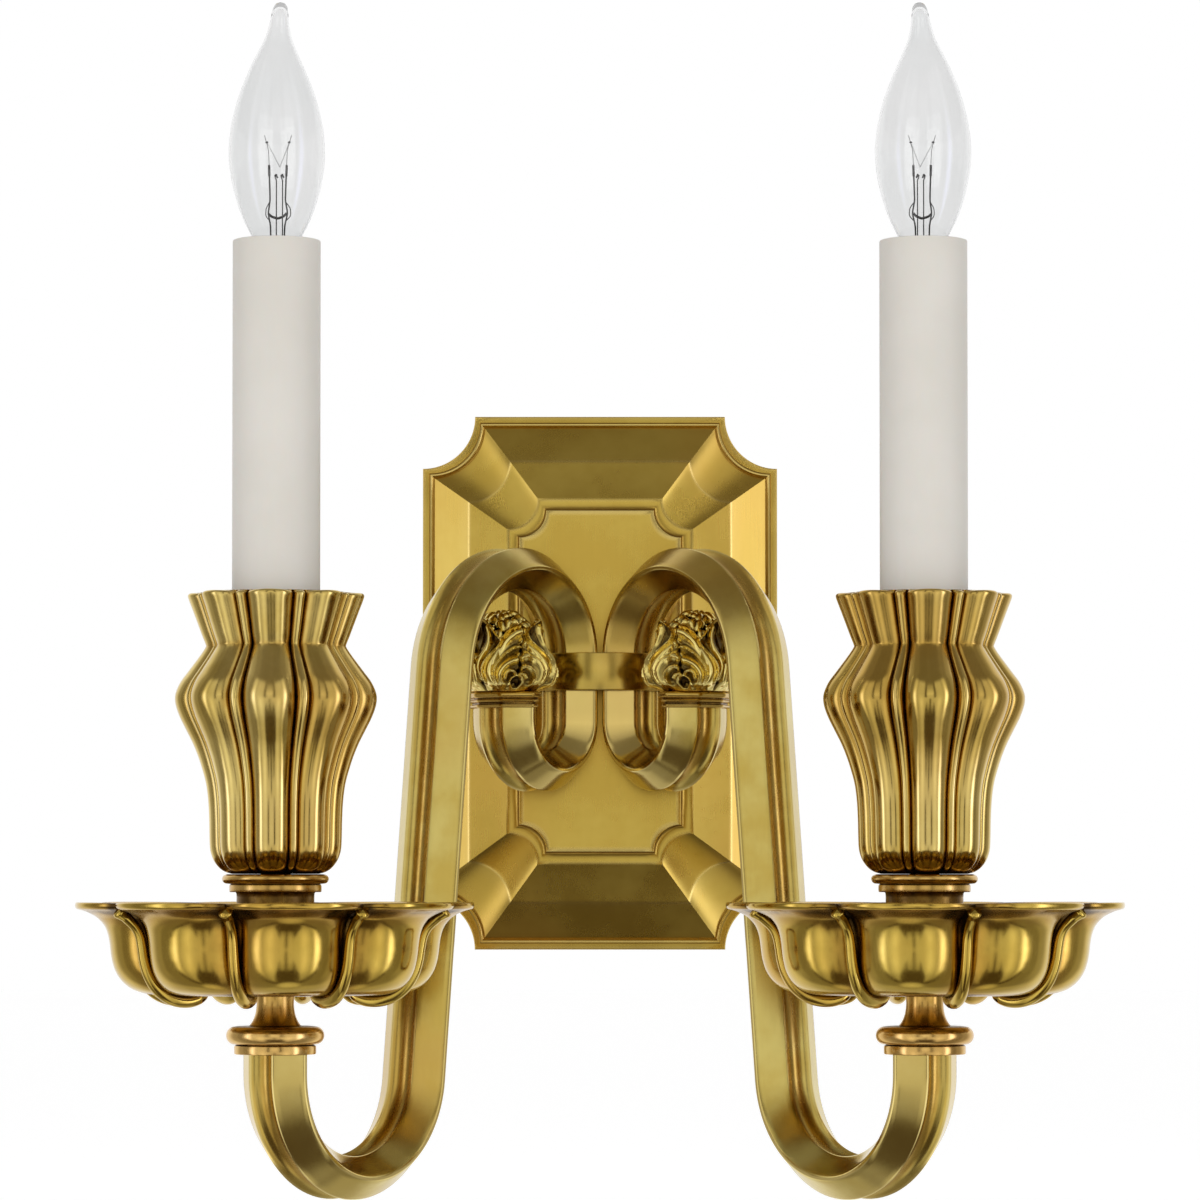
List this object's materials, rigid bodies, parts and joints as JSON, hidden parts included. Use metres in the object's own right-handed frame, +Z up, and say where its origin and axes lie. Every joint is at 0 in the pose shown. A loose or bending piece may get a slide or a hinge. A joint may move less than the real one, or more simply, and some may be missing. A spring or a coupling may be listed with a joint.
{
  "type": "double arm wall sconce",
  "caption": "Cast brass wall sconce: notched faceted backplate, scrolled moulded arms with acanthus buds, petalled drip pans, fluted candle cups, ivory sleeves and clear flame bulbs.",
  "frame": {"origin": "middle of the backplate on the wall plane, between the two junction box screws", "axes": "+Z up, +Y into the wall, the light stands out towards -Y and the arms spread along X"},
  "size_m": [0.3386, 0.2141, 0.3909],
  "materials": {
    "antique_brass": "hand-rubbed antique brass, satin on the flats and dark in the crevices",
    "dark_brass": "browner rubbed bronze patina",
    "ivory_sleeve": "smooth matt ivory",
    "clear_glass": "clear blown glass",
    "lamp_brass": "bright stamped brass",
    "lamp_leads": "drawn wire on a glass stem",
    "zinc_steel": "zinc-plated steel",
    "green_earth": "green-coated steel",
    "black_phenolic": "moulded phenolic",
    "lead_wire": "insulated lead wire"
  },
  "bodies": {
    "wall_assembly": {"backplate": "antique_brass", "mounting_bar": "zinc_steel", "plate_grub_screws": "antique_brass", "ground_screw": "green_earth", "clamp_band": "antique_brass", "clamp_screws": "antique_brass", "left_arm": "antique_brass", "left_arm_screws": "zinc_steel", "left_wire": "lead_wire", "left_bud_collar": "antique_brass", "left_bud": "antique_brass", "left_bud_stud": "zinc_steel", "left_arm_ferrule": "antique_brass", "left_pedestal": "dark_brass", "left_nipple": "zinc_steel", "left_drip_pan": "antique_brass", "left_neck_spacer": "dark_brass", "left_candle_cup": "antique_brass", "left_locknut": "zinc_steel", "left_socket_bracket": "zinc_steel", "left_socket_body": "black_phenolic", "left_socket_shell": "lamp_brass", "right_arm": "antique_brass", "right_arm_screws": "zinc_steel", "right_wire": "lead_wire", "right_bud_collar": "antique_brass", "right_bud": "antique_brass", "right_bud_stud": "zinc_steel", "right_arm_ferrule": "antique_brass", "right_pedestal": "dark_brass", "right_nipple": "zinc_steel", "right_drip_pan": "antique_brass", "right_neck_spacer": "dark_brass", "right_candle_cup": "antique_brass", "right_locknut": "zinc_steel", "right_socket_bracket": "zinc_steel", "right_socket_body": "black_phenolic", "right_socket_shell": "lamp_brass"},
    "left_sleeve": {"left_candle_sleeve": "ivory_sleeve"},
    "left_bulb": {"left_bulb_base": "lamp_brass", "left_bulb_glass": "clear_glass", "left_bulb_mount": "lamp_leads"},
    "right_sleeve": {"right_candle_sleeve": "ivory_sleeve"},
    "right_bulb": {"right_bulb_base": "lamp_brass", "right_bulb_glass": "clear_glass", "right_bulb_mount": "lamp_leads"}
  },
  "joints": [
    {"name": "left_sleeve_lift", "type": "slide", "parent": "wall_assembly", "child": "left_sleeve", "axis": [0, 0, 1], "range_m": [0, 0.006]},
    {"name": "left_bulb_lift", "type": "slide", "parent": "wall_assembly", "child": "left_bulb", "axis": [0, 0, 1], "range_m": [0, 0.045]},
    {"name": "right_sleeve_lift", "type": "slide", "parent": "wall_assembly", "child": "right_sleeve", "axis": [0, 0, 1], "range_m": [0, 0.006]},
    {"name": "right_bulb_lift", "type": "slide", "parent": "wall_assembly", "child": "right_bulb", "axis": [0, 0, 1], "range_m": [0, 0.045]}
  ]
}
